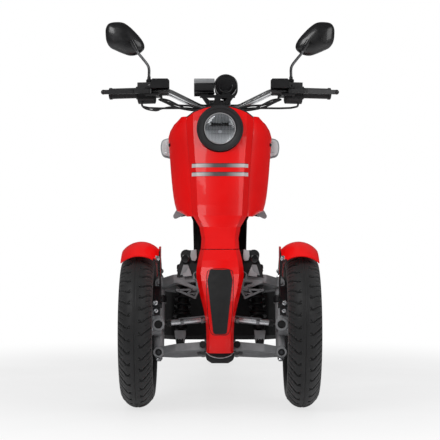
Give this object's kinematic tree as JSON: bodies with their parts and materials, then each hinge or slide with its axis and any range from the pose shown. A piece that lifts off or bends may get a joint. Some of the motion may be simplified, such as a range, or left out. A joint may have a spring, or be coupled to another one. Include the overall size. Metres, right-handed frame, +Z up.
{
  "type": "electric three-wheel scooter",
  "caption": "Tilting electric motor scooter with twin steered front wheels, one rear hub-motor wheel, step-through floor, handlebar, headlight fairing and long seat.",
  "frame": {"origin": "on the ground, in the middle of the overall length and width", "axes": "+Z up, the front faces -Y, +X is the rider's left"},
  "size_m": [0.766, 1.8509, 1.1984],
  "materials": {
    "red_plastic": "gloss",
    "black_plastic": "satin",
    "black_metal": "satin",
    "grey_metal": "satin",
    "bright_metal": "satin",
    "tyre_rubber": "matt",
    "soft_rubber": "matt",
    "seat_cover": "matt",
    "clear_lens": "gloss",
    "red_lens": "gloss",
    "mirror_glass": "gloss"
  },
  "bodies": {
    "frame": {"main_frame": "black_metal", "linkage_carrier": "black_metal", "suspension_arms": "grey_metal", "shock_absorbers": "black_metal", "swingarm": "black_metal", "rear_brake_caliper": "grey_metal", "front_panel": "red_plastic", "nose_panel": "black_plastic", "nose_insert": "black_plastic", "side_wings": "red_plastic", "leg_shield": "black_plastic", "dash_cover": "red_plastic", "headlight": "black_plastic", "headlight_lens": "clear_lens", "turn_signals": "clear_lens", "belly_pan": "black_plastic", "floorboard": "black_plastic", "floor_mat": "soft_rubber", "battery_box": "black_metal", "side_panels": "red_plastic", "seat_front_cover": "black_plastic", "storage_bucket": "black_plastic", "grab_rail": "black_metal", "tail_light": "red_lens", "rear_fender": "black_plastic"},
    "handlebar": {"steering_stem": "black_metal", "handlebar": "black_metal", "grips": "soft_rubber", "switch_housings": "black_plastic", "master_cylinders": "grey_metal", "brake_levers": "bright_metal", "mirrors": "black_plastic", "mirror_glasses": "mirror_glass", "gauge_bracket": "black_plastic", "instruments": "black_plastic", "brake_cables": "soft_rubber"},
    "tie_rods": {"tie_rods": "bright_metal"},
    "knuckle_left": {"knuckle_left": "grey_metal", "brake_caliper_left": "grey_metal", "front_fender_left": "red_plastic"},
    "knuckle_right": {"knuckle_right": "grey_metal", "brake_caliper_right": "grey_metal", "front_fender_right": "red_plastic"},
    "front_wheel_left": {"front_rim_left": "grey_metal", "front_tyre_left": "tyre_rubber"},
    "front_wheel_right": {"front_rim_right": "grey_metal", "front_tyre_right": "tyre_rubber"},
    "rear_wheel": {"rear_hub_motor": "grey_metal", "rear_tyre": "tyre_rubber"},
    "seat": {"seat_base": "black_plastic", "seat_cushion": "seat_cover"},
    "stand": {"centre_stand": "black_metal"}
  },
  "joints": [
    {"name": "steering", "type": "hinge", "parent": "frame", "child": "handlebar", "pos_m": [0, -0.51575, 0.6], "axis": [0, 0.342, 0.9397], "range_deg": [-25, 25]},
    {"name": "tie_rod_swing", "type": "hinge", "parent": "handlebar", "child": "tie_rods", "pos_m": [0, -0.70293, 0.267], "axis": [0, 0.342, 0.9397], "range_deg": [-25, 25]},
    {"name": "kingpin_left", "type": "hinge", "parent": "frame", "child": "knuckle_left", "pos_m": [0.183, -0.657, 0.2335], "axis": [0, 0.342, 0.9397], "range_deg": [-25, 25]},
    {"name": "kingpin_right", "type": "hinge", "parent": "frame", "child": "knuckle_right", "pos_m": [-0.183, -0.657, 0.2335], "axis": [0, 0.342, 0.9397], "range_deg": [-25, 25]},
    {"name": "front_wheel_left_spin", "type": "hinge", "parent": "knuckle_left", "child": "front_wheel_left", "pos_m": [0.244, -0.692, 0.2335], "axis": [1, 0, 0], "continuous": true},
    {"name": "front_wheel_right_spin", "type": "hinge", "parent": "knuckle_right", "child": "front_wheel_right", "pos_m": [-0.244, -0.692, 0.2335], "axis": [1, 0, 0], "continuous": true},
    {"name": "rear_wheel_spin", "type": "hinge", "parent": "frame", "child": "rear_wheel", "pos_m": [0, 0.648, 0.2365], "axis": [1, 0, 0], "continuous": true},
    {"name": "seat_lid", "type": "hinge", "parent": "frame", "child": "seat", "pos_m": [0, 0.154, 0.706], "axis": [1, 0, 0], "range_deg": [0, 70]},
    {"name": "stand_fold", "type": "hinge", "parent": "frame", "child": "stand", "pos_m": [0, 0.243, 0.215], "axis": [1, 0, 0], "range_deg": [-78, 0], "stiffness_Nm_per_rad": 3, "springref_deg": 85.94}
  ],
  "couplings": [
    {"joint": "kingpin_left", "follows": "steering", "ratio": 1},
    {"joint": "kingpin_right", "follows": "steering", "ratio": 1},
    {"joint": "tie_rod_swing", "follows": "steering", "ratio": -1}
  ]
}
